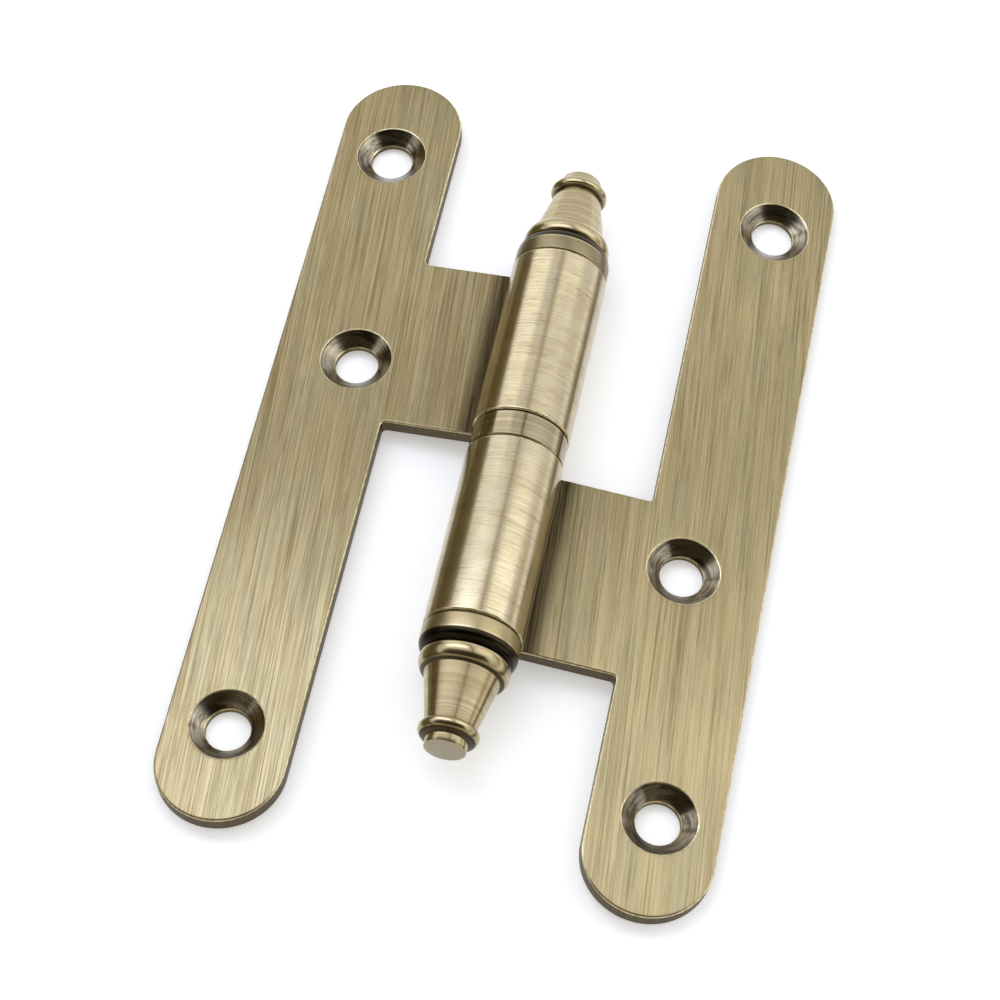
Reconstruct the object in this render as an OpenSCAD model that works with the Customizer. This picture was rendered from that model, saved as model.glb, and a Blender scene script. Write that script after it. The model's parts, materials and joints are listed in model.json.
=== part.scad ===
// Lift-off door hinge of the H pattern. Two long round-ended leaves are each folded from one sheet,
// which rolls into a knuckle. The lower knuckle holds a pin, the upper one lifts off it, a ring lies
// between them, and a turned finial closes each end.
// The pin lies along Y. The hinge lies open and face up, on its barrel and on the outer edges of
// both leaves, and Z = 0 is the surface below it. The lower leaf is at +X and the upper one at -X.

/* [Leaves] */
// Length of the long plate of a leaf, between its round ends
leaf_l = 114; // [104:1:130]
// Width of the long plate
plate_w = 16; // [14:0.5:22]
// Thickness of the sheet
sheet_t = 2.2; // [1.6:0.1:2.8]
// Radius on every cut edge of the sheet
edge_r = 0.3; // [0.1:0.05:0.5]
// Distance from the pin's axis to the inner edge of the plate
plate_x = 18.1; // [15:0.1:24]
// How far the front face of a leaf lies behind the pin's axis, half the gap when the hinge is closed
front_drop = 1.2; // [0.5:0.1:1.6]
// Length of plate past the knuckle's outer end
overhang = 30; // [26:0.5:34]
// Radius in the corners between the plate and the tab
corner_r = 0.6; // [0.3:0.1:2]

/* [Knuckles] */
// Length of a knuckle and of the tab that it rolls up from
knuckle_l = 25.4; // [22:0.2:30]
// Inner radius of the bend between the tab and the knuckle
bend_r = 2.2; // [1.8:0.1:3]
// Angle of the rolled end, below the level of the axis
seam_angle = 7; // [5:0.5:8]

/* [Pin and ring] */
// Diameter of the pin
pin_d = 8; // [7:0.1:9]
// Space between the pin's fixed end and the lower finial's stem
seat_gap = 1.4; // [0.4:0.1:6]
// Space between the pin's tip and the upper finial's stem
tip_gap = 2.4; // [0.4:0.1:6]
// Length of the pin's tapered tip
pin_taper = 1.2; // [0.5:0.1:2]
// Length of the ring between the knuckles
ring_l = 3.8; // [2:0.1:5]
// Outer diameter of the ring
ring_d = 12.2; // [10.6:0.1:12.4]
// Chamfer on the ends of the ring and the pin
small_chamfer = 0.2; // [0.1:0.05:0.4]

/* [Screw holes] */
// Diameter of the screw holes
hole_d = 5.5; // [4:0.1:6]
// Diameter of the countersinks at the front face
sink_d = 9.4; // [8:0.1:10.5]
// Length of straight hole below each countersink
hole_land = 0.7; // [0.3:0.1:1]
// Distance from each round end of the plate to its end hole
end_hole = 12.8; // [10:0.2:16]
// Distance from the plate's knuckle end to its middle hole
middle_hole = 46.5; // [40:0.5:52]
// How far the end holes lie outward of the plate's centre line
end_shift = 0.5; // [0:0.1:1]
// How far the middle hole lies inward of the plate's centre line
middle_shift = 2.5; // [0:0.1:3]

/* [Finials] */
// Diameter of the band next to the knuckle
band_d = 12.3; // [10.8:0.1:12.4]
// Length of the band
band_l = 2.05; // [1:0.05:3]
// Length of the rounded shoulder outside the band
shoulder_l = 1.55; // [1:0.05:2.2]
// Diameter at the bottom of the groove outside the shoulder
groove_d = 10.1; // [9.6:0.1:10.5]
// Diameter of the collar outside the groove
collar_d = 11.3; // [10.8:0.1:11.8]
// Length of the collar
collar_l = 2.45; // [1.6:0.05:3.2]
// Diameter of the cone at its thick end
cone_d = 9.4; // [8:0.1:9.6]
// Diameter of the cone at its thin end
cone_tip_d = 6.2; // [5.4:0.1:7]
// Length of the cone
cone_l = 6.85; // [5:0.05:9]
// Diameter of the bead outside the cone
bead_d = 7.5; // [7.1:0.1:8]
// Length of the bead
bead_l = 1.75; // [1:0.05:2.4]
// Diameter of the button at the tip
button_d = 5.2; // [4:0.1:5.3]
// Length of the button
button_l = 1.4; // [0.8:0.05:2.5]
// Height of the button's domed end
button_dome = 0.35; // [0.2:0.05:0.5]
// Length of the stem pressed into the knuckle
stem_l = 5; // [3:0.1:5.4]

/* [Clearances] */
// Radial clearance between the pin and what turns on it
running_gap = 0.05; // [0.02:0.01:0.1]
// Play between the ring and each knuckle
end_play = 0.05; // [0.02:0.01:0.1]

/* [Hidden] */
$fn = 96;
plate_tint = "#A99C74";
turned_tint = "#B5A883";
ring_tint = "#9C927A";
steel_tint = "#8E8C86";
// How far the round of the bend runs into the round of the knuckle
bend_bite = 0.02;
// Segments in a rounded edge, in a turned bead, and in the finial's shoulder and dome
edge_steps = 4;
bead_steps = 14;
round_steps = 7;

// Radii about the pin's axis
pin_r = pin_d / 2;
running_r = pin_r + running_gap;
// Height of the axis, where the upper knuckle touches the surface below
axis_z = running_r + sheet_t;
// Places along the axis, outward from the middle of the ring
knuckle_y = ring_l / 2 + end_play;
knuckle_end_y = knuckle_y + knuckle_l;
plate_end_y = knuckle_end_y + overhang;
plate_far_y = plate_end_y - leaf_l;
// Faces of a leaf below the axis, and the plate's centre line
back_drop = front_drop + sheet_t;
plate_mid_x = plate_x + plate_w / 2;
// Angle by which each open leaf droops, so that its outer back edge touches the surface
foot_x = plate_x + plate_w - edge_r;
droop = asin(axis_z / norm([foot_x, back_drop])) - atan2(back_drop, foot_x);

// Points along an ellipse about [x, y], and along a circle
function oval(x, y, rx, ry, from, to, steps) =
    [for (i = [0:steps]) let (a = from + (to - from) * i / steps) [x + rx * cos(a), y + ry * sin(a)]];
function arc(x, y, r, from, to, steps) = oval(x, y, r, r, from, to, steps);

// Points of a turned bulge between two points of an outline, which stands out by height
function bulge(a, b, height) =
    [for (i = [1:bead_steps - 1])
        let (u = i / bead_steps, s = 2 * u - 1) a + (b - a) * u + [height * sqrt(1 - s * s), 0]];

// Cut section of the sheet, w wide and t thick, from the origin, with its four edges rounded
module sheet_section(w, t) {
    polygon(concat(
        arc(w - edge_r, edge_r, edge_r, -90, 0, edge_steps),
        arc(w - edge_r, t - edge_r, edge_r, 0, 90, edge_steps),
        arc(edge_r, t - edge_r, edge_r, 90, 180, edge_steps),
        arc(edge_r, edge_r, edge_r, 180, 270, edge_steps)));
}

// Long plate, with its inner edge at plate_x and its front face at -front_drop
module plate() {
    straight_l = leaf_l - plate_w;
    translate([plate_x, -plate_far_y - plate_w / 2, -back_drop])
        rotate([90, 0, 0]) linear_extrude(straight_l) sheet_section(plate_w, sheet_t);
    for (side = [[-plate_far_y - plate_w / 2, 0], [-plate_end_y + plate_w / 2, 180]])
        translate([plate_mid_x, side[0], -back_drop]) rotate([0, 0, side[1]])
            rotate_extrude(angle = 180) round_end_section();
}

// Half section of the plate at its round ends
module round_end_section() {
    r = plate_w / 2;
    polygon(concat([[0, 0]],
        arc(r - edge_r, edge_r, edge_r, -90, 0, edge_steps),
        arc(r - edge_r, sheet_t - edge_r, edge_r, 0, 90, edge_steps),
        [[0, sheet_t]]));
}

// Extrudes a section of [x, z] along the knuckle, which lies toward -Y, and past each end by over
module along_knuckle(over = 0) {
    translate([0, over - knuckle_y, 0]) rotate([90, 0, 0]) linear_extrude(knuckle_l + 2 * over)
        children();
}

// Outside of the rolled knuckle, of radius r
module barrel(r) {
    rotate([90, 0, 0]) translate([0, 0, knuckle_y]) rotate_extrude() polygon(concat(
        [[0, 0]],
        arc(r - edge_r, edge_r, edge_r, -90, 0, edge_steps),
        arc(r - edge_r, knuckle_l - edge_r, edge_r, 0, 90, edge_steps),
        [[0, knuckle_l]]));
}

// Tab between the plate and the bend that starts at x
module tab(x) {
    translate([x, -knuckle_end_y, -back_drop])
        rotate([90, 0, 90]) linear_extrude(plate_mid_x - x) sheet_section(knuckle_l, sheet_t);
}

// Fillet about the origin, in the corner between the plate at +X and the tab at +Y
module corner_fillet() {
    over = 1;
    reach = corner_r + edge_r;
    difference() {
        cube([reach + over, reach + over, sheet_t]);
        rotate_extrude() polygon(concat(
            [[0, -over], [reach, -over]],
            arc(reach, edge_r, edge_r, 270, 180, edge_steps),
            arc(reach, sheet_t - edge_r, edge_r, 180, 90, edge_steps),
            [[reach, sheet_t + over], [0, sheet_t + over]]));
    }
}

// Sheet on the back of the bend, from the tab to the knuckle
module bend(centre) {
    along_knuckle() difference() {
        polygon([[0, 0], centre, [centre[0], -front_drop]]);
        translate(centre) circle(bend_r);
    }
}

// Cleft at the front, between the rolled end of the sheet and the bend
module seam(centre) {
    over = 1;
    along_knuckle(over) difference() {
        polygon([[0, 0], centre, [centre[0], -centre[0] * tan(seam_angle)]]);
        translate(centre) circle(bend_r + sheet_t);
    }
}

// Bore of the knuckle, with a chamfer at each mouth
module bore(r) {
    over = 1;
    mouth_r = r + small_chamfer;
    rotate([90, 0, 0]) {
        translate([0, 0, knuckle_y - over]) cylinder(r = r, h = knuckle_l + 2 * over);
        translate([0, 0, knuckle_y - over])
            cylinder(r1 = mouth_r + over, r2 = r, h = small_chamfer + over);
        translate([0, 0, knuckle_end_y - small_chamfer])
            cylinder(r1 = r, r2 = mouth_r + over, h = small_chamfer + over);
    }
}

// Countersunk hole through the plate at [x, y]
module screw_hole(x, y) {
    over = 1;
    sink_depth = sheet_t - hole_land;
    slope = (sink_d - hole_d) / 2 / sink_depth;
    translate([x, y, -back_drop]) {
        translate([0, 0, -over]) cylinder(d = hole_d, h = sheet_t + 2 * over);
        translate([0, 0, hole_land])
            cylinder(d1 = hole_d, d2 = sink_d + 2 * slope * over, h = sink_depth + over);
    }
}

// One leaf, level, with the pin's axis at the origin and its knuckle at -Y. The sheet leaves the
// plate, bends down below the axis and goes once round it, to the seam at the front.
module leaf(bore_r) {
    knuckle_r = bore_r + sheet_t;
    bend_z = -back_drop - bend_r;
    bend_x = sqrt(pow(knuckle_r + bend_r - bend_bite, 2) - bend_z * bend_z);
    difference() {
        union() {
            plate();
            tab(bend_x);
            translate([plate_x - corner_r, -knuckle_end_y - corner_r, -back_drop]) corner_fillet();
            translate([plate_x - corner_r, corner_r - knuckle_y, -back_drop])
                mirror([0, 1, 0]) corner_fillet();
            bend([bend_x, bend_z]);
            barrel(knuckle_r);
        }
        bore(bore_r);
        seam([bend_x, bend_z]);
        screw_hole(plate_mid_x + end_shift, -plate_end_y + end_hole);
        screw_hole(plate_mid_x - middle_shift, -plate_end_y + middle_hole);
        screw_hole(plate_mid_x + end_shift, -plate_far_y - end_hole);
    }
}

// Leaf with the pin pressed into its knuckle
module lower_leaf() {
    color(plate_tint) translate([0, 0, axis_z]) rotate([0, droop, 0]) leaf(pin_r);
}

// The same leaf turned end for end, with the bore that runs on the pin
module upper_leaf() {
    color(plate_tint) translate([0, 0, axis_z]) rotate([0, 0, 180]) rotate([0, droop, 0])
        leaf(running_r);
}

// Turns an outline of [radius, place along the axis] about the pin's axis, toward +Y
module turned(points) {
    translate([0, 0, axis_z]) rotate([-90, 0, 0]) rotate_extrude() polygon(points);
}

// Plain pin, tapered where the upper knuckle drops over it
module pin() {
    from = -knuckle_end_y + stem_l + seat_gap;
    to = knuckle_end_y - stem_l - tip_gap;
    color(steel_tint) turned([
        [0, from],
        [pin_r - small_chamfer, from],
        [pin_r, from + small_chamfer],
        [pin_r, to - pin_taper],
        [pin_r - pin_taper / 2, to],
        [0, to]]);
}

// Ring that carries the upper knuckle on the lower one
module ring() {
    r = ring_d / 2;
    h = ring_l / 2;
    color(ring_tint) turned([
        [running_r, -h],
        [r - small_chamfer, -h],
        [r, small_chamfer - h],
        [r, h - small_chamfer],
        [r - small_chamfer, h],
        [running_r, h]]);
}

// Turned finial, from its stem in a bore of bore_r to its button
module finial(bore_r) {
    band_end = knuckle_end_y + band_l;
    groove_y = band_end + shoulder_l;
    cone_y = groove_y + collar_l;
    bead_y = cone_y + cone_l;
    button_y = bead_y + bead_l;
    tip_y = button_y + button_l;
    band_r = band_d / 2;
    groove_r = groove_d / 2;
    cone_r = cone_d / 2;
    cone_tip_r = cone_tip_d / 2;
    button_r = button_d / 2;
    turned(concat(
        [[0, knuckle_end_y - stem_l],
         [bore_r - small_chamfer, knuckle_end_y - stem_l],
         [bore_r, knuckle_end_y - stem_l + small_chamfer],
         [bore_r, knuckle_end_y],
         [band_r - small_chamfer, knuckle_end_y],
         [band_r, knuckle_end_y + small_chamfer]],
        oval(groove_r, band_end, band_r - groove_r, shoulder_l, 0, 90, round_steps),
        bulge([groove_r, groove_y], [cone_r, cone_y], (collar_d - groove_d / 2 - cone_d / 2) / 2),
        [[cone_r, cone_y], [cone_tip_r, bead_y]],
        bulge([cone_tip_r, bead_y], [button_r, button_y], (bead_d - cone_tip_r - button_r) / 2),
        [[button_r, button_y]],
        oval(0, tip_y - button_dome, button_r, button_dome, 0, 90, round_steps)));
}

// Finial pressed into the end of the lower knuckle
module lower_finial() {
    color(turned_tint) rotate([0, 0, 180]) finial(pin_r);
}

// Finial pressed into the end of the upper knuckle
module upper_finial() {
    color(turned_tint) finial(running_r);
}

lower_leaf();
upper_leaf();
pin();
ring();
lower_finial();
upper_finial();
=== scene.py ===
"""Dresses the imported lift-off hinge: two folded leaves, the pin, the ring and two turned finials, all in
antique brass or steel, on a white table under soft lamps."""

import json
import math

import bmesh
import bpy
from bpy.props import FloatProperty, FloatVectorProperty, IntProperty, PointerProperty, StringProperty
from mathutils import Euler, Matrix, Vector


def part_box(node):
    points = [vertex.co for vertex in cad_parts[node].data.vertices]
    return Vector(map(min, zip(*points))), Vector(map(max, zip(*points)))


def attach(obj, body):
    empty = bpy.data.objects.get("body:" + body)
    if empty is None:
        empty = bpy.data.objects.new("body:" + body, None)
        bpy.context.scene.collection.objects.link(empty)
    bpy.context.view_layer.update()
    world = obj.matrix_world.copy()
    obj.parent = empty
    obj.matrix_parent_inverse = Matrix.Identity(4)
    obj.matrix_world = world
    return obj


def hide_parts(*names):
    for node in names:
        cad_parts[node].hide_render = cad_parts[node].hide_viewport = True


bl_info = {
    "name": "Lift-off hinge",
    "version": (1, 0, 0),
    "blender": (4, 5, 0),
    "location": "3D Viewport > Sidebar > Hinge",
    "description": "Models and finishes an antique brass lift-off hinge around its packed frame",
    "category": "Object",
}

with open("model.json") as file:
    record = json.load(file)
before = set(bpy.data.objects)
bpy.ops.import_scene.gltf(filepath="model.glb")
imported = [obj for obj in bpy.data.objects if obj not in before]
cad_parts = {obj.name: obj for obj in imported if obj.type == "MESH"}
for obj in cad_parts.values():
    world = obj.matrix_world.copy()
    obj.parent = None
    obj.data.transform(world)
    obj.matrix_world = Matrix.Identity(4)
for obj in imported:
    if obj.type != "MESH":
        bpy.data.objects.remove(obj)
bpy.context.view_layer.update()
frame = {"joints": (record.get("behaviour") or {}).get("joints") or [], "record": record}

MM = 0.001
MOUNTS = {mount["name"]: mount for mount in frame["record"]["mounts"]}
SWING = next(joint for joint in frame["joints"] if joint["name"] == "swing")
# Height of the pin's axis, and the angle by which an open leaf droops below level
AXIS_Z = SWING["pos_m"][2]
SINK_AXIS = Vector(MOUNTS["lower_leaf_end_hole"]["axis"])
DROOP = math.atan2(SINK_AXIS.x, SINK_AXIS.z)
HOLE_R = MOUNTS["lower_leaf_end_hole"]["dims"]["r_mm"] * MM
HOLE_LAND = MOUNTS["lower_leaf_end_hole"]["dims"]["length_mm"] * MM
# Places along the pin's axis, from the middle of the ring
RING_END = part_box("ring")[1].y
FINIAL_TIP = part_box("upper_finial")[1].y
STEM_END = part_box("upper_finial")[0].y
PLATE_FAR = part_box("lower_leaf")[1].y
PLATE_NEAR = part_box("lower_leaf")[0].y
# Corners of the pin's box, and its radius
PIN_LOW, PIN_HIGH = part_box("pin")
PIN_R = (PIN_HIGH.x - PIN_LOW.x) / 2

# Distance within which two vertices are one, and within which a face lies in a plane
WELD = MM / 10000
LEVEL = MM / 1000
# Angles between faces beyond which an edge is drawn sharp, rounded on a leaf, and rounded on a turned piece
SHARP_ANGLE = math.radians(38)
LEAF_ANGLE = math.radians(60)
TURNED_ANGLE = math.radians(40)
# Steps round the curves of a leaf: a plate's end, a fillet, a hole, its rim, the bend and the roll
END_STEPS, FILLET_STEPS, HOLE_STEPS, RIM_STEPS, BEND_STEPS, ROLL_STEPS = 48, 6, 72, 4, 10, 96
# Width over which a band along the axis fades out, and width of a dark line of painted shade in a corner of a
# finial
FADE = 0.00015

# Order of the materials on a leaf
FLAT, ROLLED, SUNK, CUT, RUBBED_GLINT = range(5)


class LeafSizes(bpy.types.PropertyGroup):
    """Sizes of a leaf, which is one folded sheet."""

    sheet: FloatProperty(name="Sheet", description="Thickness of the sheet", default=0.0022, unit="LENGTH")
    width: FloatProperty(name="Width", description="Width of the long plate", default=0.016, unit="LENGTH")
    inner_x: FloatProperty(
        name="Inner edge", description="From the pin's axis to the plate", default=0.0181, unit="LENGTH")
    front_drop: FloatProperty(
        name="Front drop", description="How far the front face lies behind the axis", default=0.0012,
        unit="LENGTH")
    knuckle: FloatProperty(
        name="Knuckle", description="Length of a knuckle and of its tab", default=0.0254, unit="LENGTH")
    knuckle_y: FloatProperty(
        name="Knuckle start", description="From the middle of the ring to the knuckle", default=0.00195,
        unit="LENGTH")
    bend_r: FloatProperty(
        name="Bend", description="Inner radius between the tab and the knuckle", default=0.0022,
        unit="LENGTH")
    seam: FloatProperty(
        name="Seam", description="Angle of the rolled end below the axis", default=math.radians(7),
        subtype="ANGLE")
    edge_r: FloatProperty(
        name="Edge", description="Radius on the cut edges", default=0.0003, precision=5, unit="LENGTH")
    corner_r: FloatProperty(
        name="Corner", description="Radius between the plate and the tab", default=0.0006, precision=5,
        unit="LENGTH")
    sink_d: FloatProperty(
        name="Countersink", description="Diameter at the front face", default=0.0094, unit="LENGTH")
    rim_r: FloatProperty(
        name="Rim", description="Radius on the rims of the countersinks", default=0.0004, precision=5,
        unit="LENGTH")
    lip: FloatProperty(
        name="Lip", description="Worn lip where a countersink meets its hole", default=0.00015, precision=5,
        unit="LENGTH")


class TurnedSizes(bpy.types.PropertyGroup):
    """Sizes of the turned pieces: the ring, the finials and the pin's ends."""

    ring_d: FloatProperty(
        name="Ring", description="Outer diameter of the ring", default=0.0122, unit="LENGTH")
    band_d: FloatProperty(name="Band", description="Diameter of the band", default=0.0123, unit="LENGTH")
    band_l: FloatProperty(
        name="Band length", description="Length of the band", default=0.00205, unit="LENGTH")
    shoulder_l: FloatProperty(
        name="Shoulder", description="Length of the rounded shoulder", default=0.00155, unit="LENGTH")
    groove_d: FloatProperty(
        name="Groove", description="Diameter at the bottom of the groove", default=0.0101, unit="LENGTH")
    collar_d: FloatProperty(
        name="Collar", description="Diameter of the collar", default=0.0113, unit="LENGTH")
    collar_l: FloatProperty(
        name="Collar length", description="Length of the collar", default=0.00245, unit="LENGTH")
    cone_d: FloatProperty(name="Cone", description="Thick end of the cone", default=0.0094, unit="LENGTH")
    cone_tip_d: FloatProperty(
        name="Cone tip", description="Thin end of the cone", default=0.0062, unit="LENGTH")
    cone_l: FloatProperty(
        name="Cone length", description="Length of the cone", default=0.00685, unit="LENGTH")
    bead_d: FloatProperty(name="Bead", description="Diameter of the bead", default=0.0075, unit="LENGTH")
    bead_l: FloatProperty(
        name="Bead length", description="Length of the bead", default=0.00175, unit="LENGTH")
    button_d: FloatProperty(
        name="Button", description="Diameter of the button", default=0.0052, unit="LENGTH")
    dome: FloatProperty(
        name="Dome", description="Height of the button's domed end", default=0.00035, precision=5,
        unit="LENGTH")
    chamfer: FloatProperty(
        name="Chamfer", description="Chamfer on the turned ends", default=0.0002, precision=5, unit="LENGTH")
    taper: FloatProperty(name="Taper", description="Length of the pin's taper", default=0.0012, unit="LENGTH")
    steps: IntProperty(name="Steps", description="Segments round a turned piece", default=160, min=32)


class Finishes(bpy.types.PropertyGroup):
    """Colours of the metals and the cards, as sRGB hex values."""

    # Painted light: the lower leaf's flat is a lighter copy of the same brass, standing in for more light on
    # that leaf
    brass_lower_lit: StringProperty(
        name="Lower flat", description="Flat of the lower leaf, a little lighter", default="#A79873")
    brass_upper: StringProperty(name="Upper flat", description="Flat of the upper leaf", default="#978866")
    bright: StringProperty(name="Bright lines", description="Brass where the brush cut", default="#BDB08A")
    streak: StringProperty(name="Streak", description="Patina in the brush lines", default="#7A6C49")
    cool: StringProperty(name="Cool patches", description="Greyer patches of the plating", default="#8C896F")
    # Also painted shade: in the crease by the barrel, as the lower knuckle's shadow on its finial, and in the
    # finials' corner lines
    patina: StringProperty(name="Patina", description="Darkest patina", default="#352C1C")
    rolled: StringProperty(name="Knuckle", description="Brass of the rolled knuckles", default="#C4B797")
    rolled_bright: StringProperty(
        name="Knuckle lines", description="Bright brush lines of the knuckles", default="#D6CAAC")
    rolled_streak: StringProperty(
        name="Knuckle streak", description="Patina in the knuckles' lines", default="#A59574")
    rolled_cool: StringProperty(
        name="Knuckle patches", description="Greyer patches of the knuckles", default="#B4AE9A")
    turned: StringProperty(name="Finial", description="Brass of the turned finials", default="#C8BC9A")
    turned_shade: StringProperty(
        name="Finial shade", description="Thin patina on the finials", default="#A99A76")
    ring: StringProperty(name="Ring", description="Greyer brass of the ring", default="#B3A88F")
    ring_shade: StringProperty(name="Ring shade", description="Thin patina on the ring", default="#988C70")
    dull: StringProperty(name="Band", description="Duller band next to the knuckle", default="#8C8064")
    tip: StringProperty(name="Button end", description="Greyish end of the button", default="#958C76")
    # Also painted shade: in the seams at the ring's ends and in dark patches in the countersinks; on the
    # finials' shoulders, painted shade and reflection besides the groove's patina
    black: StringProperty(name="Groove", description="Black in the turned grooves", default="#1A160F")
    pale_card: StringProperty(name="Pale card", description="Low cards", default="#D2CAB2")
    grey_card: StringProperty(name="Grey card", description="Cards overhead", default="#8F8668")
    olive_card: StringProperty(name="Olive card", description="Cards on the left", default="#6C5E38")
    dark_card: StringProperty(name="Dark card", description="High card in front", default="#3E3420")
    sunk: StringProperty(name="Countersink", description="Machined countersinks", default="#ADA594")
    sunk_shade: StringProperty(
        name="Countersink shade", description="Tool marks in the countersinks", default="#857B6A")
    cut: StringProperty(name="Cut edge", description="Dark punched edges", default="#574D3C")
    # Partly wear, partly a painted highlight along the rounded rims, the knuckles' ends and the holes' lips
    rubbed: StringProperty(name="Rubbed edge", description="Rims rubbed bright", default="#E2D6AE")
    steel: StringProperty(name="Pin", description="Bright drawn steel", default="#C4C1BB")
    steel_shade: StringProperty(name="Pin shade", description="Drawing marks on the pin", default="#9A9792")


class StageSizes(bpy.types.PropertyGroup):
    """The table, the lamps, the cards and the camera."""

    camera_at: FloatVectorProperty(
        name="Camera", description="Place of the camera", default=(0.02494, -0.18966, 0.30575),
        subtype="XYZ", unit="LENGTH", precision=5)
    camera_turn: FloatVectorProperty(
        name="Turn", description="Turn of the camera",
        default=tuple(math.radians(a) for a in (31.438, -2.266, 11.706)), subtype="EULER")
    lens: FloatProperty(name="Lens", description="Focal length in millimetres", default=101.783)
    floor_size: FloatProperty(name="Floor", description="Width of the table", default=4.0, unit="LENGTH")
    ambient: FloatProperty(name="Ambient", description="Strength of the room's own light", default=0.7)


def linear(code):
    """Linear RGBA of an sRGB hex colour."""
    channels = [int(code[i:i + 2], 16) / 255 for i in (1, 3, 5)]
    return [c / 12.92 if c <= 0.04045 else ((c + 0.055) / 1.055) ** 2.4 for c in channels] + [1.0]


def add_node(tree, kind, attributes=None, inputs=None):
    """Adds a node, sets its attributes, and sets or links its inputs."""
    node = tree.nodes.new(kind)
    for name, value in (attributes or {}).items():
        setattr(node, name, value)
    for name, value in (inputs or {}).items():
        if isinstance(value, bpy.types.NodeSocket):
            tree.links.new(value, node.inputs[name])
        else:
            node.inputs[name].default_value = value
    return node


def new_material(name):
    """An empty node material, and its tree."""
    material = bpy.data.materials.new(name)
    material.use_nodes = True
    material.node_tree.nodes.clear()
    return material, material.node_tree


def finish_metal(tree, colour, roughness, height, depth, smear=0.0):
    """Ends a material in a metal with a bumped surface, depth in metres. smear draws its reflections out
    square to brush lines that run along the pin."""
    bump = add_node(tree, "ShaderNodeBump", inputs={"Strength": 1.0, "Distance": depth, "Height": height})
    shader = add_node(tree, "ShaderNodeBsdfPrincipled", inputs={
        "Base Color": colour, "Metallic": 1.0, "Roughness": roughness, "Normal": bump.outputs["Normal"]})
    if smear:
        lay = add_node(tree, "ShaderNodeCombineXYZ", inputs={"Y": 1.0})
        tree.links.new(lay.outputs["Vector"], shader.inputs["Tangent"])
        shader.inputs["Anisotropic"].default_value = smear
        shader.inputs["Anisotropic Rotation"].default_value = 0.25
    add_node(tree, "ShaderNodeOutputMaterial", inputs={"Surface": shader.outputs["BSDF"]})


def streaks(tree, place, across, along, detail, lean=0.0):
    """Noise drawn out into lines. place says for X, Y and Z whether the lines follow it, across and along
    are the sizes of a line in metres, and lean turns the lines about Z."""
    coordinates = add_node(tree, "ShaderNodeTexCoord")
    mapping = add_node(tree, "ShaderNodeMapping", {"vector_type": "TEXTURE"}, {
        "Vector": coordinates.outputs["Object"], "Rotation": (0.0, 0.0, lean),
        "Scale": [along if axis else across for axis in place]})
    noise = add_node(tree, "ShaderNodeTexNoise", inputs={
        "Vector": mapping.outputs["Vector"], "Scale": 1.0, "Detail": detail, "Roughness": 0.55})
    return noise.outputs["Fac"]


def scratches(tree, place, across, along, lean):
    """Straight lines, about 0.5 between them, that a coarser noise breaks up into that length."""
    line = streaks(tree, place, across, along * 6, 1.0, lean)
    reach = spread(tree, streaks(tree, place, across * 2.5, along, 1.0, lean), 0.35, 0.65, 0.1, 1.9)
    return maths(tree, "ADD", maths(tree, "MULTIPLY", maths(tree, "SUBTRACT", line, 0.5), reach), 0.5)


def spread(tree, value, low, high, to_low=0.0, to_high=1.0):
    """Maps a value from one range to another, clamped."""
    node = add_node(tree, "ShaderNodeMapRange", inputs={
        "Value": value, "From Min": low, "From Max": high, "To Min": to_low, "To Max": to_high})
    return node.outputs["Result"]


def maths(tree, operation, first, second=0.0):
    """Works out one sum."""
    return add_node(tree, "ShaderNodeMath", {"operation": operation}, {0: first, 1: second}).outputs[0]


def mix(tree, factor, first, second):
    """Mixes two colours."""
    return add_node(tree, "ShaderNodeMix", {"data_type": "RGBA"}, {0: factor, 6: first, 7: second}).outputs[2]


def from_axis(tree, low, high):
    """1 close to the pin's axis, at low or nearer, and 0 at high and beyond."""
    coordinates = add_node(tree, "ShaderNodeTexCoord")
    mapping = add_node(tree, "ShaderNodeMapping", inputs={
        "Vector": coordinates.outputs["Object"], "Location": (0, 0, -AXIS_Z), "Scale": (1, 0, 1)})
    radius = add_node(tree, "ShaderNodeVectorMath", {"operation": "LENGTH"}, {0: mapping.outputs["Vector"]})
    return spread(tree, radius.outputs["Value"], low, high, 1.0, 0.0)


def along_axis(tree):
    """Distance along the pin's axis from the middle of the ring."""
    coordinates = add_node(tree, "ShaderNodeTexCoord")
    parts = add_node(tree, "ShaderNodeSeparateXYZ", inputs={"Vector": coordinates.outputs["Object"]})
    return maths(tree, "ABSOLUTE", parts.outputs["Y"])


def within(tree, start, end):
    """1 between two distances from the middle of the ring, along the axis."""
    middle, reach = (start + end) / 2, (end - start) / 2
    off = maths(tree, "ABSOLUTE", maths(tree, "SUBTRACT", along_axis(tree), middle))
    return spread(tree, off, reach - FADE, reach, 1.0, 0.0)


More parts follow.
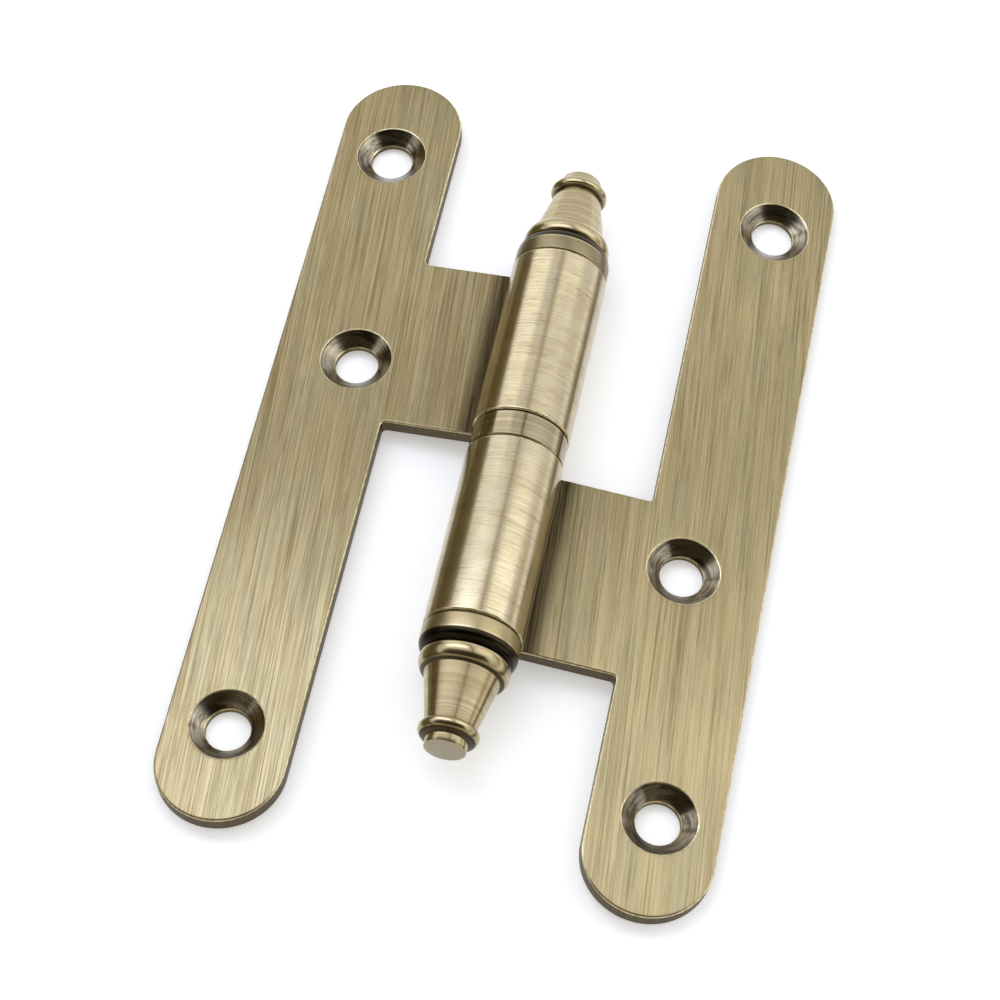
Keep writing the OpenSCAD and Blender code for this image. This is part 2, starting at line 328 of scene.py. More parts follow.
def brushed_brass(name, tones, place, widths, lengths, contrast, roughness, depth, shade_by_barrel=False,
                  smear=0.0, lean=0.0):
    """Antique brass: plated, darkened, then brushed by a belt, which leaves fine broken lines, bright where
    it cut and olive where the patina stayed. By the barrel, where no belt reaches, it is darker: some patina,
    and painted shade and reflection of the crease between the tab and the knuckle."""
    base, bright, streak, patina, cool = [linear(tone) for tone in tones]
    material, tree = new_material(name)
    fine = scratches(tree, place, widths[0], lengths[0], lean)
    medium = scratches(tree, place, widths[1], lengths[1], lean)
    broad = streaks(tree, place, widths[2], lengths[2], 1.0, lean)
    cloud = streaks(tree, place, widths[2] * 2.5, lengths[2] * 0.5, 2.0, lean)
    lines = maths(tree, "ADD", maths(tree, "MULTIPLY", fine, 0.6), maths(tree, "MULTIPLY", medium, 0.4))
    colour = mix(tree, spread(tree, cloud, 0.42, 0.62, 0.0, 0.45), base, cool)
    colour = mix(tree, spread(tree, broad, 0.4, 0.7, 0.0, 0.4), colour, streak)
    colour = mix(tree, spread(tree, lines, 0.5, 0.58, 0.0, contrast), colour, bright)
    colour = mix(tree, spread(tree, lines, 0.41, 0.49, contrast, 0.0), colour, streak)
    colour = mix(tree, spread(tree, medium, 0.31, 0.37, contrast * 0.6, 0.0), colour, patina)
    if shade_by_barrel:
        broken = spread(tree, lines, 0.35, 0.6, 1.0, 0.8)
        # Painted shade in the crease by the barrel: a wide faint band, then a narrow dark one in the corner
        for low, high, most in ((0.007, 0.017, 0.3), (0.0074, 0.0092, 1.0)):
            worn = maths(tree, "MULTIPLY", from_axis(tree, low, high), broken)
            colour = mix(tree, maths(tree, "MULTIPLY", worn, most), colour, patina)
    rough = spread(tree, lines, 0.35, 0.65, roughness + 0.04, roughness - 0.04)
    finish_metal(tree, colour, rough, lines, depth, smear)
    return material


def turned_metal(name, base, shade, pitch, roughness, depth, place=(1, 0, 1), bands=(), shade_blotch=None):
    """Metal turned on a lathe and lightly polished: fine rings round the axis and a cloudy thin patina.
    bands are stretches along the axis with a colour of their own, each as start, end and colour: duller
    bands, and dark lines and bands of painted shade in seams and corners. blotch is the colour of dark
    patches, patina that also stands in for painted shade in a countersink's recess."""
    material, tree = new_material(name)
    rings = streaks(tree, place, pitch, 0.02, 2.0)
    cloud = streaks(tree, (0, 0, 0), 0.003, 0.003, 2.0)
    colour = mix(tree, spread(tree, rings, 0.36, 0.62, 0.0, 0.8), linear(shade), linear(base))
    colour = mix(tree, spread(tree, cloud, 0.4, 0.7, 0.0, 0.5), colour, linear(shade))
    rough = spread(tree, cloud, 0.3, 0.7, roughness - 0.03, roughness + 0.05)
    # Dark patches: patina, and painted shade in the recess of a countersink
    if shade_blotch:
        patches = streaks(tree, place, 0.0004, 0.003, 3.0)
        colour = mix(tree, spread(tree, patches, 0.5, 0.6, 0.0, 0.6), colour, linear(shade_blotch))
    for start, end, tone in bands:
        inside = within(tree, start, end)
        broken = spread(tree, rings, 0.42, 0.62, 1.0, 0.93)
        colour = mix(tree, maths(tree, "MULTIPLY", inside, broken), colour, linear(tone))
        rough = maths(tree, "ADD", rough, maths(tree, "MULTIPLY", inside, 0.12))
    finish_metal(tree, colour, rough, rings, depth)
    return material


def cut_edge(name, colour, worn):
    """Punched edge of the sheet, plated dark and never brushed: matt, with fine upright tear lines."""
    material, tree = new_material(name)
    tears = streaks(tree, (0, 0, 1), 0.00025, 0.003, 3.0)
    base = mix(tree, spread(tree, tears, 0.45, 0.7, 0.0, 0.4), linear(colour), linear(worn))
    finish_metal(tree, base, 0.5, tears, 0.000006)
    return material


def worn_glint_edge(name, bright, base):
    """Rounded rims of the front face, which the belt rubs bright, and lightened further as a painted
    highlight along the rims.
    """
    material, tree = new_material(name)
    rubbed = streaks(tree, (0, 0, 0), 0.0006, 0.0006, 2.0)
    colour = mix(tree, spread(tree, rubbed, 0.4, 0.6), linear(base), linear(bright))
    finish_metal(tree, colour, 0.3, rubbed, 0.000002)
    return material


def into_object(bm, name, materials, body, node):
    """Makes a piece of a bmesh, with smooth faces and even normals, on its body, and hides the part it
    replaces.
    """
    mesh = bpy.data.meshes.new(name)
    bm.to_mesh(mesh)
    bm.free()
    for material in materials:
        mesh.materials.append(material)
    mesh.shade_smooth()
    mesh.set_sharp_from_angle(angle=SHARP_ANGLE)
    piece = bpy.data.objects.new(name, mesh)
    bpy.context.scene.collection.objects.link(piece)
    weighted = piece.modifiers.new("even_normals", "WEIGHTED_NORMAL")
    weighted.keep_sharp = True
    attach(piece, body)
    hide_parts(node)


def arc_edge(bm, start, centre, angle, steps):
    """Draws an arc in the XY plane from a vertex, and returns its last vertex."""
    drawn = bmesh.ops.spin(
        bm, geom=[start], cent=centre, axis=(0, 0, 1), angle=angle, steps=steps, use_merge=False,
        use_duplicate=False)
    return next(v for v in drawn["geom_last"] if isinstance(v, bmesh.types.BMVert))


def line_edge(bm, start, x, y):
    """Draws a straight edge in the XY plane from a vertex, and returns its last vertex."""
    end = bm.verts.new((x, y, start.co.z))
    bm.edges.new((start, end))
    return end


def leaf_to_row(upper):
    """Places a level leaf, with the pin's axis at the origin, where the open hinge has it."""
    half_turn = Matrix.Rotation(math.pi if upper else 0.0, 4, "Z")
    return Matrix.Translation((0, 0, AXIS_Z)) @ half_turn @ Matrix.Rotation(DROOP, 4, "Y")


def pull_edges(bm, edges, centre, ratio, depth):
    """Extrudes a loop of edges, scales it about a centre, lowers it, and returns the new edges."""
    drawn = bmesh.ops.extrude_edge_only(bm, edges=edges)["geom"]
    verts = [v for v in drawn if isinstance(v, bmesh.types.BMVert)]
    bmesh.ops.translate(bm, vec=(0, 0, -depth), verts=verts)
    bmesh.ops.scale(
        bm, vec=(ratio, ratio, 1), space=Matrix.Translation((-centre[0], -centre[1], 0)), verts=verts)
    return [e for e in drawn if isinstance(e, bmesh.types.BMEdge)]


def hole_profile(sizes):
    """Radius and depth down a countersunk hole, with its rims rounded."""
    sink_r, floor = sizes.sink_d / 2, sizes.sheet - HOLE_LAND
    slope = math.atan2(floor, sink_r - HOLE_R)
    reach = sizes.rim_r * math.tan(slope / 2)
    turns = [slope * i / RIM_STEPS for i in range(RIM_STEPS + 1)]
    rim = [
        (sink_r + reach - sizes.rim_r * math.sin(turn), sizes.rim_r * (1 - math.cos(turn))) for turn in turns]
    lip, back = sizes.lip, 0.0001
    return rim + [
        (HOLE_R + lip, floor - lip * math.tan(slope)), (HOLE_R, floor + lip / 2),
        (HOLE_R, sizes.sheet - back), (HOLE_R + back, sizes.sheet)]


def fill_loops(bm, outline, holes, band=0.0005):
    """Fills an outline with holes, each given as edges, centre and radius. A band of even faces runs along
    every border, so that only the flat between the bands is filled with triangles."""
    sheet = bmesh.ops.edgeloop_fill(bm, edges=outline)["faces"]
    bmesh.ops.inset_region(
        bm, faces=sheet, use_boundary=True, use_even_offset=True, thickness=band, depth=0.0)
    inner = list(sheet[0].edges)
    bmesh.ops.delete(bm, geom=sheet, context="FACES_ONLY")
    for edges, centre, radius in holes:
        inner += pull_edges(bm, edges, centre, 1 + band / radius, 0)
    bmesh.ops.triangle_fill(bm, use_beauty=True, edges=inner, normal=(0, 0, 1))


def leaf_blank(sizes, bend_x, holes):
    """The leaf as it is punched, with its countersinks, and the tab's end still straight."""
    bm = bmesh.new()
    front, inner, outer = -sizes.front_drop, sizes.inner_x, sizes.inner_x + sizes.width
    end_r = sizes.width / 2
    middle = inner + end_r
    near, far = PLATE_NEAR + end_r, PLATE_FAR - end_r
    tab_far = -sizes.knuckle_y
    tab_near = tab_far - sizes.knuckle
    r = sizes.corner_r
    first = bm.verts.new((inner, near, front))
    v = arc_edge(bm, first, (middle, near, front), math.pi, END_STEPS)
    v = line_edge(bm, v, outer, far)
    v = arc_edge(bm, v, (middle, far, front), math.pi, END_STEPS)
    v = line_edge(bm, v, inner, tab_far + r)
    v = arc_edge(bm, v, (inner - r, tab_far + r, front), -math.pi / 2, FILLET_STEPS)
    v = line_edge(bm, v, bend_x, tab_far)
    v = line_edge(bm, v, bend_x, tab_near)
    v = line_edge(bm, v, inner - r, tab_near)
    v = arc_edge(bm, v, (inner - r, tab_near - r, front), -math.pi / 2, FILLET_STEPS)
    bm.edges.new((v, first))
    outline = bm.edges[:]
    loops = []
    profile = hole_profile(sizes)
    for x, y in holes:
        rim = bmesh.ops.create_circle(
            bm, cap_ends=False, segments=HOLE_STEPS, radius=profile[0][0],
            matrix=Matrix.Translation((x, y, front)))["verts"]
        loops.append((list({e for v in rim for e in v.link_edges}), (x, y)))
    backs = []
    for edges, centre in loops:
        pulled = edges
        for (last_r, last_depth), (next_r, next_depth) in zip(profile, profile[1:]):
            pulled = pull_edges(bm, pulled, centre, next_r / last_r, next_depth - last_depth)
        backs.append((pulled, centre, profile[-1][0]))
    back = pull_edges(bm, outline, (0, 0), 1, sizes.sheet)
    fill_loops(bm, outline, [(edges, centre, profile[0][0]) for edges, centre in loops])
    fill_loops(bm, back, backs)
    return bm


def leaf_material(face, bend_x, holes, sizes):
    """Which material of a leaf a face takes, from where it is and how far its normal leans from upright."""
    middle = face.calc_center_median()
    if middle.x < bend_x:
        side = abs(face.normal.y)
        return CUT if side > 0.9 else RUBBED_GLINT if side > 0.15 else ROLLED
    heights = [v.co.z for v in face.verts]
    lean = abs(face.normal.z) if max(heights) - min(heights) > LEVEL else 1.0
    near_hole = min(math.hypot(middle.x - x, middle.y - y) for x, y in holes)
    if lean < 0.9:
        for reach, material in (
                (HOLE_R + sizes.lip / 4, CUT), (HOLE_R + sizes.lip, RUBBED_GLINT),
                (sizes.sink_d / 2 - sizes.rim_r / 4, SUNK)):
            if near_hole < reach:
                return material
    if lean < 0.3:
        return CUT
    return RUBBED_GLINT if lean < 0.96 and middle.z > -2 * sizes.front_drop else FLAT


def build_leaf(name, node, body, upper, bore_r, materials):
    """Punches a leaf, rolls its tab into the knuckle, and rounds its edges."""
    sizes = bpy.context.scene.hinge_leaf
    placed = leaf_to_row(upper)
    holes = [
        (placed.inverted() @ Vector(mount["pos_m"])).xy for mount_name, mount in MOUNTS.items()
        if mount_name.startswith(node) and mount["kind"] == "bore"]
    knuckle_r = bore_r + sizes.sheet
    bend_z = -sizes.front_drop - sizes.sheet - sizes.bend_r
    bend_x = math.sqrt((knuckle_r + sizes.bend_r) ** 2 - bend_z ** 2)
    bm = leaf_blank(sizes, bend_x, holes)
    bmesh.ops.recalc_face_normals(bm, faces=bm.faces[:])
    bend_angle = math.atan2(bend_x, -bend_z)
    roll_angle = 1.5 * math.pi + bend_angle + sizes.seam
    end = [f for f in bm.faces if all(abs(v.co.x - bend_x) < LEVEL for v in f.verts)]
    rolls = (((bend_x, 0, bend_z), -bend_angle, BEND_STEPS), ((0, 0, 0), roll_angle, ROLL_STEPS))
    for centre, angle, steps in rolls:
        geom = end + [e for f in end for e in f.edges] + [v for f in end for v in f.verts]
        drawn = bmesh.ops.spin(
            bm, geom=list(dict.fromkeys(geom)), cent=centre, axis=(0, 1, 0), angle=angle, steps=steps,
            use_merge=False, use_duplicate=False)
        end = [f for f in drawn["geom_last"] if isinstance(f, bmesh.types.BMFace)]
    bmesh.ops.remove_doubles(bm, verts=bm.verts[:], dist=WELD)
    bmesh.ops.recalc_face_normals(bm, faces=bm.faces[:])
    corners = [e for e in bm.edges if e.calc_face_angle(0) > LEAF_ANGLE]
    bmesh.ops.bevel(
        bm, geom=corners, offset=sizes.edge_r, offset_type="OFFSET", segments=4, profile=0.5,
        affect="EDGES", material=-1)
    for face in bm.faces:
        face.material_index = leaf_material(face, bend_x, holes, sizes)
    bmesh.ops.transform(bm, matrix=placed, verts=bm.verts[:])
    into_object(bm, name, materials, body, node)


def oval(centre, radii, start, end, steps):
    """Points along part of an ellipse, in the plane of radius and place along the axis."""
    angles = [start + (end - start) * i / steps for i in range(steps + 1)]
    return [(centre[0] + radii[0] * math.cos(a), centre[1] + radii[1] * math.sin(a)) for a in angles]


def bulge(start, end, height, steps):
    """Points of a turned bulge between two points, which stands out by height."""
    points = []
    for i in range(1, steps):
        u = i / steps
        out = height * math.sqrt(1 - (2 * u - 1) ** 2)
        points.append((start[0] + (end[0] - start[0]) * u + out, start[1] + (end[1] - start[1]) * u))
    return points


def turn_profile(points, steps, edge_r):
    """Turns a profile of (radius, place along the axis) about the pin's axis."""
    bm = bmesh.new()
    line = [bm.verts.new((radius, y, AXIS_Z)) for radius, y in points]
    edges = [bm.edges.new(pair) for pair in zip(line, line[1:])]
    if points[0][0] > 0:
        edges.append(bm.edges.new((line[-1], line[0])))
    bmesh.ops.spin(
        bm, geom=line + edges, cent=(0, 0, AXIS_Z), axis=(0, 1, 0), angle=2 * math.pi, steps=steps,
        use_merge=True, use_duplicate=False)
    bmesh.ops.remove_doubles(bm, verts=bm.verts[:], dist=WELD)
    bmesh.ops.recalc_face_normals(bm, faces=bm.faces[:])
    corners = [e for e in bm.edges if e.calc_face_angle(0) > TURNED_ANGLE]
    bmesh.ops.bevel(
        bm, geom=corners, offset=edge_r, offset_type="OFFSET", segments=2, profile=0.5, affect="EDGES",
        material=-1)
    return bm


def running_bore():
    """Radius of the upper knuckle's bore, which runs on the pin."""
    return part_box("upper_leaf")[1].x - bpy.context.scene.hinge_leaf.sheet


def finial_places(sizes, knuckle_end):
    """Places along the axis where a finial's band ends, and its collar, cone, bead and button begin."""
    band_end = knuckle_end + sizes.band_l
    groove = band_end + sizes.shoulder_l
    cone = groove + sizes.collar_l
    bead = cone + sizes.cone_l
    return band_end, groove, cone, bead, bead + sizes.bead_l


def finial_profile(sizes, stem_r, knuckle_end):
    """Profile of a finial that points toward +Y, from the stem in the knuckle to the button."""
    band_end, groove_y, cone_y, bead_y, button_y = finial_places(sizes, knuckle_end)
    band_r, groove_r, cone_r = sizes.band_d / 2, sizes.groove_d / 2, sizes.cone_d / 2
    tip_r, button_r = sizes.cone_tip_d / 2, sizes.button_d / 2
    chamfer = sizes.chamfer
    stem = [(0, STEM_END), (stem_r - chamfer, STEM_END), (stem_r, STEM_END + chamfer), (stem_r, knuckle_end)]
    band = [(band_r - chamfer, knuckle_end), (band_r, knuckle_end + chamfer)]
    shoulder = oval((groove_r, band_end), (band_r - groove_r, sizes.shoulder_l), 0, math.pi / 2, 10)
    collar = bulge(
        (groove_r, groove_y), (cone_r, cone_y), (sizes.collar_d - groove_r - cone_r) / 2, 18)
    cone = [(cone_r, cone_y), (tip_r, bead_y)]
    bead = bulge((tip_r, bead_y), (button_r, button_y), (sizes.bead_d - tip_r - button_r) / 2, 16)
    button = [(button_r, button_y)] + oval(
        (0, FINIAL_TIP - sizes.dome), (button_r, sizes.dome), 0, math.pi / 2, 8)[:-1]
    return stem + band + shoulder + collar + cone + bead + button + [(0, FINIAL_TIP)]


class HINGE_OT_leaves(bpy.types.Operator):
    """Punches, rolls and finishes both leaves"""

    bl_idname = "hinge.leaves"
    bl_label = "Leaves"

    def execute(self, context):
        colours = context.scene.hinge_finishes
        rolled = (
            colours.rolled, colours.rolled_bright, colours.rolled_streak, colours.patina,
            colours.rolled_cool)
        flats = [
            brushed_brass(
                "brushed_brass_" + name, (tone, colours.bright, colours.streak, colours.patina, colours.cool),
                place=(0, 1, 0), widths=(0.00013, 0.00024, 0.001), lengths=(0.003, 0.008, 0.03),
                contrast=0.31, roughness=0.36, depth=0.00000045, shade_by_barrel=True, smear=0.8,
                lean=math.radians(4))
            for name, tone in (("lower", colours.brass_lower_lit), ("upper", colours.brass_upper))]
        materials = [
            brushed_brass(
                "brushed_brass_rolled", rolled, place=(1, 0, 1), widths=(0.00013, 0.00021, 0.0025),
                lengths=(0.0007, 0.0012, 0.004), contrast=0.27, roughness=0.21, depth=0.0000008),
            turned_metal(
                "machined_countersink", colours.sunk, colours.sunk_shade, pitch=0.00016, roughness=0.2,
                depth=0.000003, place=(1, 1, 0), shade_blotch=colours.black),
            cut_edge("punched_edge", colours.cut, colours.streak),
            worn_glint_edge("worn_brass_glint_edge", colours.rubbed, colours.bright),
        ]
        build_leaf("lower_leaf_sheet", "lower_leaf", "lower_half", False, PIN_R, flats[:1] + materials)
        build_leaf(
            "upper_leaf_sheet", "upper_leaf", "upper_half", True, running_bore(), flats[1:] + materials)
        return {"FINISHED"}


class HINGE_OT_pin(bpy.types.Operator):
    """Turns the pin that the upper leaf swings on"""

    bl_idname = "hinge.pin"
    bl_label = "Pin"

    def execute(self, context):
        sizes = context.scene.hinge_turned
        low, high = PIN_LOW.y, PIN_HIGH.y
        profile = [
            (0, low), (PIN_R - sizes.chamfer, low), (PIN_R, low + sizes.chamfer), (PIN_R, high - sizes.taper),
            (PIN_R - sizes.taper / 2, high), (0, high)]
        colours = context.scene.hinge_finishes
        steel = turned_metal(
            "drawn_steel", colours.steel, colours.steel_shade, pitch=0.0003, roughness=0.22, depth=0.000003)
        bm = turn_profile(profile, sizes.steps, edge_r=0.0001)
        into_object(bm, "pin_steel", [steel], "lower_half", "pin")
        return {"FINISHED"}


class HINGE_OT_ring(bpy.types.Operator):
    """Turns the ring that the upper knuckle runs on"""

    bl_idname = "hinge.ring"
    bl_label = "Ring"

    def execute(self, context):
        sizes = context.scene.hinge_turned
        outer, half, chamfer = sizes.ring_d / 2, RING_END, sizes.chamfer
        inner = running_bore()
        profile = [
            (inner, -half), (outer - chamfer, -half), (outer, chamfer - half), (outer, half - chamfer),
            (outer - chamfer, half), (inner, half)]
        colours = context.scene.hinge_finishes
        # A black band at each end of the ring: painted shade in the seams between the ring and the knuckles
        brass = turned_metal(
            "turned_ring_brass", colours.ring, colours.ring_shade, pitch=0.0003, roughness=0.14,
            depth=0.000001, bands=((RING_END - 0.0001, RING_END + 0.0002, colours.black),))
        bm = turn_profile(profile, sizes.steps, edge_r=0.00005)
        into_object(bm, "ring_brass", [brass], "ring", "ring")
        return {"FINISHED"}


class HINGE_OT_finials(bpy.types.Operator):
    """Turns a finial for each end of the pin"""

    bl_idname = "hinge.finials"
    bl_label = "Finials"

    def execute(self, context):
        sizes = context.scene.hinge_turned
        leaf = context.scene.hinge_leaf
        colours = context.scene.hinge_finishes
        knuckle_end = leaf.knuckle_y + leaf.knuckle
        band_end, groove, cone, bead, button = finial_places(sizes, knuckle_end)
        # Black over the shoulder: patina in the groove, and painted shade and reflection on the shoulder.
        # Dark lines where the collar meets the cone, at the bead and at the button: painted shade in those
        # corners, over some patina
        bands = [
            (band_end + FADE, groove + FADE, colours.black), (cone - 2 * FADE, cone + FADE, colours.patina),
            (bead - FADE, bead + FADE, colours.patina), (button - 3 * FADE, button + FADE, colours.patina),
            (FINIAL_TIP - sizes.dome, FINIAL_TIP + FADE, colours.tip)]
        seams = {
            "lower": [(knuckle_end, band_end + FADE, colours.turned_shade),
                      # Painted shadow of the knuckle's end: a dark line on the band next to the knuckle
                      (knuckle_end, knuckle_end + 3 * FADE, colours.patina)],
            "upper": [(knuckle_end, band_end + FADE, colours.dull)]}
        for side, body, stem_r, turn in (
                ("lower", "lower_half", PIN_R, math.pi), ("upper", "upper_half", running_bore(), 0.0)):
            bm = turn_profile(finial_profile(sizes, stem_r, knuckle_end), sizes.steps, edge_r=0.00005)
            bmesh.ops.rotate(
                bm, cent=(0, 0, AXIS_Z), matrix=Matrix.Rotation(turn, 3, "Z"), verts=bm.verts[:])
            brass = turned_metal(
                "turned_brass_" + side, colours.turned, colours.turned_shade, pitch=0.0004, roughness=0.2,
                depth=0.000004, bands=seams[side] + bands)
            into_object(bm, side + "_finial_turned", [brass], body, side + "_finial")
        return {"FINISHED"}


def add_lamp(name, place, size, radiance, soft, colour=(1.0, 1.0, 1.0)):
    """A softbox that faces the hinge, of that radiance at its middle, which is its power over its area and
    pi. It fades toward its rims over a share of its half width and half height, as a real softbox does."""
    lamp = bpy.data.lights.new(name, "AREA")
    lamp.shape = "RECTANGLE"
    lamp.size, lamp.size_y = size
    lamp.energy = radiance * math.pi * size[0] * size[1]
    lamp.color = colour
    lamp.use_nodes = True
    tree = lamp.node_tree
    tree.nodes.clear()
    surface = add_node(tree, "ShaderNodeNewGeometry")
    parts = add_node(tree, "ShaderNodeSeparateXYZ", inputs={"Vector": surface.outputs["Parametric"]})
    fades = []
    for axis, share in zip("XY", soft):
        off = maths(tree, "ABSOLUTE", maths(tree, "SUBTRACT", parts.outputs[axis], 0.5))
        node = add_node(tree, "ShaderNodeMapRange", {"interpolation_type": "SMOOTHSTEP"}, {
            "Value": off, "From Min": 0.5 * (1 - share), "From Max": 0.5, "To Min": 1.0, "To Max": 0.0})
        fades.append(node.outputs["Result"])
    glow = add_node(tree, "ShaderNodeEmission", inputs={
        "Color": (1.0, 1.0, 1.0, 1.0), "Strength": maths(tree, "MULTIPLY", fades[0], fades[1])})
    add_node(tree, "ShaderNodeOutputLight", inputs={"Surface": glow.outputs["Emission"]})
    lamp_object = bpy.data.objects.new(name, lamp)
    lamp_object.location = place
    lamp_object.visible_camera = False
    back = Vector(place).normalized()
    up = (Vector((0, 1, 0)) - back * back.y).normalized()
    facing = Matrix((up.cross(back), up, back)).transposed()
    lamp_object.rotation_euler = facing.to_euler()
    bpy.context.scene.collection.objects.link(lamp_object)


def card_material(name, colour):
    """Studio card, which a metal mirrors as its dark bands."""
    material, tree = new_material(name)
    shader = add_node(tree, "ShaderNodeEmission", inputs={"Color": linear(colour), "Strength": 1.0})
    add_node(tree, "ShaderNodeOutputMaterial", inputs={"Surface": shader.outputs["Emission"]})
    return material


def add_card(name, corners, material):
    """A flat card with those corners, which only reflections show."""
    bm = bmesh.new()
    bm.faces.new([bm.verts.new(corner) for corner in corners])
    mesh = bpy.data.meshes.new(name)
    bm.to_mesh(mesh)
    bm.free()
    mesh.materials.append(material)
    card = bpy.data.objects.new(name, mesh)
    card.visible_camera = card.visible_diffuse = card.visible_shadow = card.visible_transmission = False
    bpy.context.scene.collection.objects.link(card)


def shows_background(tree):
    """1 for the rays that see the background as white: from the camera, mirrored or let through."""
    path = add_node(tree, "ShaderNodeLightPath")
    either = maths(tree, "MAXIMUM", path.outputs["Is Camera Ray"], path.outputs["Is Glossy Ray"])
    return maths(tree, "MAXIMUM", either, path.outputs["Is Transmission Ray"])


def table_material():
    """White table top: matt, and lifted to white where a ray shows the background, shadow kept. Near the
    hinge the lamps light it already, so it is lifted less there."""
    material, tree = new_material("white_table")
    coordinates = add_node(tree, "ShaderNodeTexCoord")
    far = add_node(tree, "ShaderNodeVectorMath", {"operation": "LENGTH"}, {
        0: coordinates.outputs["Object"]})
    lift = spread(tree, far.outputs["Value"], 0.1, 0.6, 0.31, 1.0)
    glow = add_node(tree, "ShaderNodeEmission", inputs={
        "Color": (1.0, 1.0, 1.0, 1.0), "Strength": maths(tree, "MULTIPLY", lift, shows_background(tree))})
    matt = add_node(tree, "ShaderNodeBsdfDiffuse", inputs={"Color": linear("#F4F4F4")})
    both = add_node(tree, "ShaderNodeAddShader", inputs={
        0: glow.outputs["Emission"], 1: matt.outputs["BSDF"]})
    add_node(tree, "ShaderNodeOutputMaterial", inputs={"Surface": both.outputs["Shader"]})
    return material


def add_table(size):
    """The table that the open hinge lies on."""
    bm = bmesh.new()
    bmesh.ops.create_grid(bm, x_segments=1, y_segments=1, size=size / 2)
    mesh = bpy.data.meshes.new("table")
    bm.to_mesh(mesh)
    bm.free()
    mesh.materials.append(table_material())
    table = bpy.data.objects.new("table", mesh)
    bpy.context.scene.collection.objects.link(table)


def add_lamps():
    """The softboxes, each of which lights one stretch of the knuckles or of the plates."""
    add_lamp("left_softbox", (-0.146, 0.170, 0.151), (0.195, 0.09), radiance=0.68, soft=(0.3, 0.3))
    add_lamp("right_softbox", (0.172, 0.083, 0.191), (0.24, 0.125), radiance=0.95, soft=(0.25, 0.2))
    add_lamp(
        "near_softbox", (-0.105, 0.061, 0.241), (0.34, 0.13), radiance=2.2, soft=(0.5, 0.5),
        colour=(0.9, 1.0, 1.25))
    add_lamp("upper_right_softbox", (0.106, 0.177, 0.174), (0.2, 0.043), radiance=0.6, soft=(0.3, 0.4))
    add_lamp("low_left_softbox", (-0.147, 0.0, 0.226), (0.28, 0.085), radiance=0.35, soft=(0.25, 0.5))
    add_lamp("low_right_softbox", (0.207, 0.0, 0.173), (0.28, 0.085), radiance=0.3, soft=(0.25, 0.5))


def add_cards(colours):
    """The cards that the metal mirrors in front, at the sides, below and overhead."""
    pale, grey, olive, dark = [
        card_material(name, getattr(colours, name))
        for name in ("pale_card", "grey_card", "olive_card", "dark_card")]
    # Y and Z of the edges of the two cards in front, which meet at the fold
    top, fold, foot = (-0.09, 0.45), (-0.3155, 0.2135), (-0.5, 0.02)
    for name, upper, lower, material in (
            ("front_high_card", top, fold, dark), ("front_low_card", fold, foot, pale)):
        add_card(name, [(-0.5, *upper), (0.5, *upper), (0.5, *lower), (-0.5, *lower)], material)
    add_card("right_card", [
        (0.35, -0.5, 0.001), (0.35, 0.19, 0.001), (0.35, 0.19, 0.09), (0.35, -0.5, 0.09)], pale)
    add_card("left_card", [
        (-0.35, -0.5, 0.001), (-0.35, 0.4, 0.001), (-0.35, 0.4, 0.07), (-0.35, 0.27, 0.11),
        (-0.35, 0.22, 0.2), (-0.35, 0.17, 0.2), (-0.35, 0.12, 0.127), (-0.35, -0.5, 0.127)], olive)
    add_card("low_card", [
        (-0.35, -0.3, 0.0005), (-0.037, -0.06, 0.0005), (-0.037, 0.06, 0.0005), (-0.35, 0.35, 0.0005)],
        olive)
    add_card("top_card", [
        (0.105, -0.1, 0.5), (0.165, -0.1, 0.5), (0.09, 0.281, 0.5), (0.035, 0.281, 0.5)], grey)
    add_card("back_top_card", [
        (0.035, 0.281, 0.5), (0.09, 0.281, 0.5), (0.015, 0.43, 0.5), (-0.05, 0.43, 0.5)], grey)


def add_world(ambient):
    """A white background, and the weaker light of the room on everything else."""
    world = bpy.data.worlds.new("studio")
    world.use_nodes = True
    world.node_tree.nodes.clear()
    tree = world.node_tree
    background = add_node(tree, "ShaderNodeBackground", inputs={
        "Color": (1.0, 1.0, 1.0, 1.0),
        "Strength": spread(tree, shows_background(tree), 0.0, 1.0, ambient, 1.0)})
    add_node(tree, "ShaderNodeOutputWorld", inputs={"Surface": background.outputs["Background"]})
    bpy.context.scene.world = world


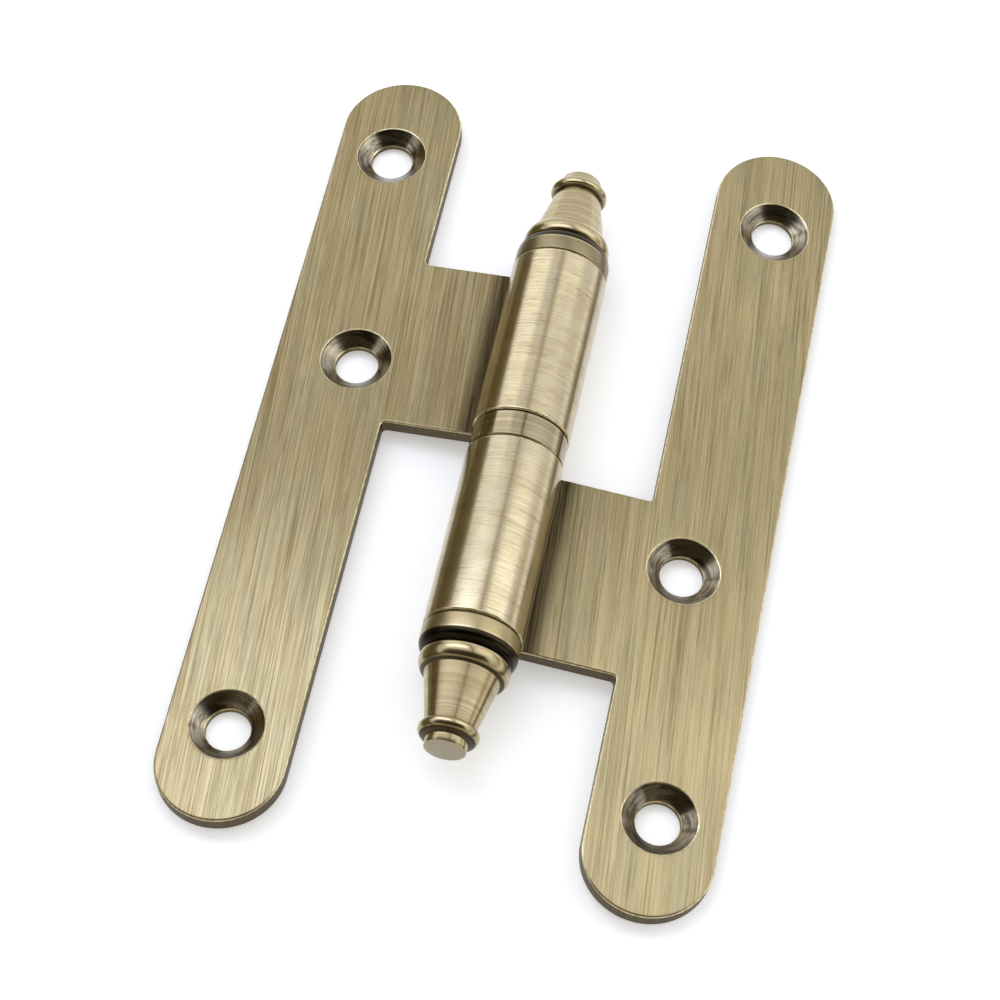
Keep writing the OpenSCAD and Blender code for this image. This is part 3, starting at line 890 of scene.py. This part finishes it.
def add_camera(sizes):
    """The camera that was solved from the photo."""
    camera = bpy.data.cameras.new("camera")
    camera.lens = sizes.lens
    camera.clip_start = 0.01
    holder = bpy.data.objects.new("camera", camera)
    holder.location = sizes.camera_at
    holder.rotation_euler = Euler(sizes.camera_turn, "XYZ")
    bpy.context.scene.collection.objects.link(holder)
    bpy.context.scene.camera = holder


class HINGE_OT_stage(bpy.types.Operator):
    """Sets the table, the lamps, the cards, the world and the camera"""

    bl_idname = "hinge.stage"
    bl_label = "Stage"

    def execute(self, context):
        sizes = context.scene.hinge_stage
        add_table(sizes.floor_size)
        add_lamps()
        add_cards(context.scene.hinge_finishes)
        add_world(sizes.ambient)
        add_camera(sizes)
        context.scene.view_settings.view_transform = "Standard"
        return {"FINISHED"}


class HINGE_PT_panel(bpy.types.Panel):
    """Lists the operators and the sizes"""

    bl_idname = "HINGE_PT_panel"
    bl_label = "Lift-off hinge"
    bl_space_type = "VIEW_3D"
    bl_region_type = "UI"
    bl_category = "Hinge"

    def draw(self, context):
        for operator in OPERATORS:
            self.layout.operator(operator.bl_idname)
        for name in GROUPS:
            settings = getattr(context.scene, name)
            for key in settings.__annotations__:
                self.layout.prop(settings, key)


OPERATORS = (HINGE_OT_stage, HINGE_OT_leaves, HINGE_OT_pin, HINGE_OT_ring, HINGE_OT_finials)
GROUPS = {
    "hinge_leaf": LeafSizes,
    "hinge_turned": TurnedSizes,
    "hinge_finishes": Finishes,
    "hinge_stage": StageSizes,
}


def register():
    for group in GROUPS.values():
        bpy.utils.register_class(group)
    for operator in OPERATORS:
        bpy.utils.register_class(operator)
    bpy.utils.register_class(HINGE_PT_panel)
    for name, group in GROUPS.items():
        setattr(bpy.types.Scene, name, PointerProperty(type=group))


def unregister():
    for name in GROUPS:
        delattr(bpy.types.Scene, name)
    bpy.utils.unregister_class(HINGE_PT_panel)
    for operator in reversed(OPERATORS):
        bpy.utils.unregister_class(operator)
    for group in reversed(GROUPS.values()):
        bpy.utils.unregister_class(group)


def main():
    """Registers the add-on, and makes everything."""
    register()
    bpy.ops.hinge.stage()
    bpy.ops.hinge.leaves()
    bpy.ops.hinge.pin()
    bpy.ops.hinge.ring()
    bpy.ops.hinge.finials()


if __name__ == "__main__":
    main()
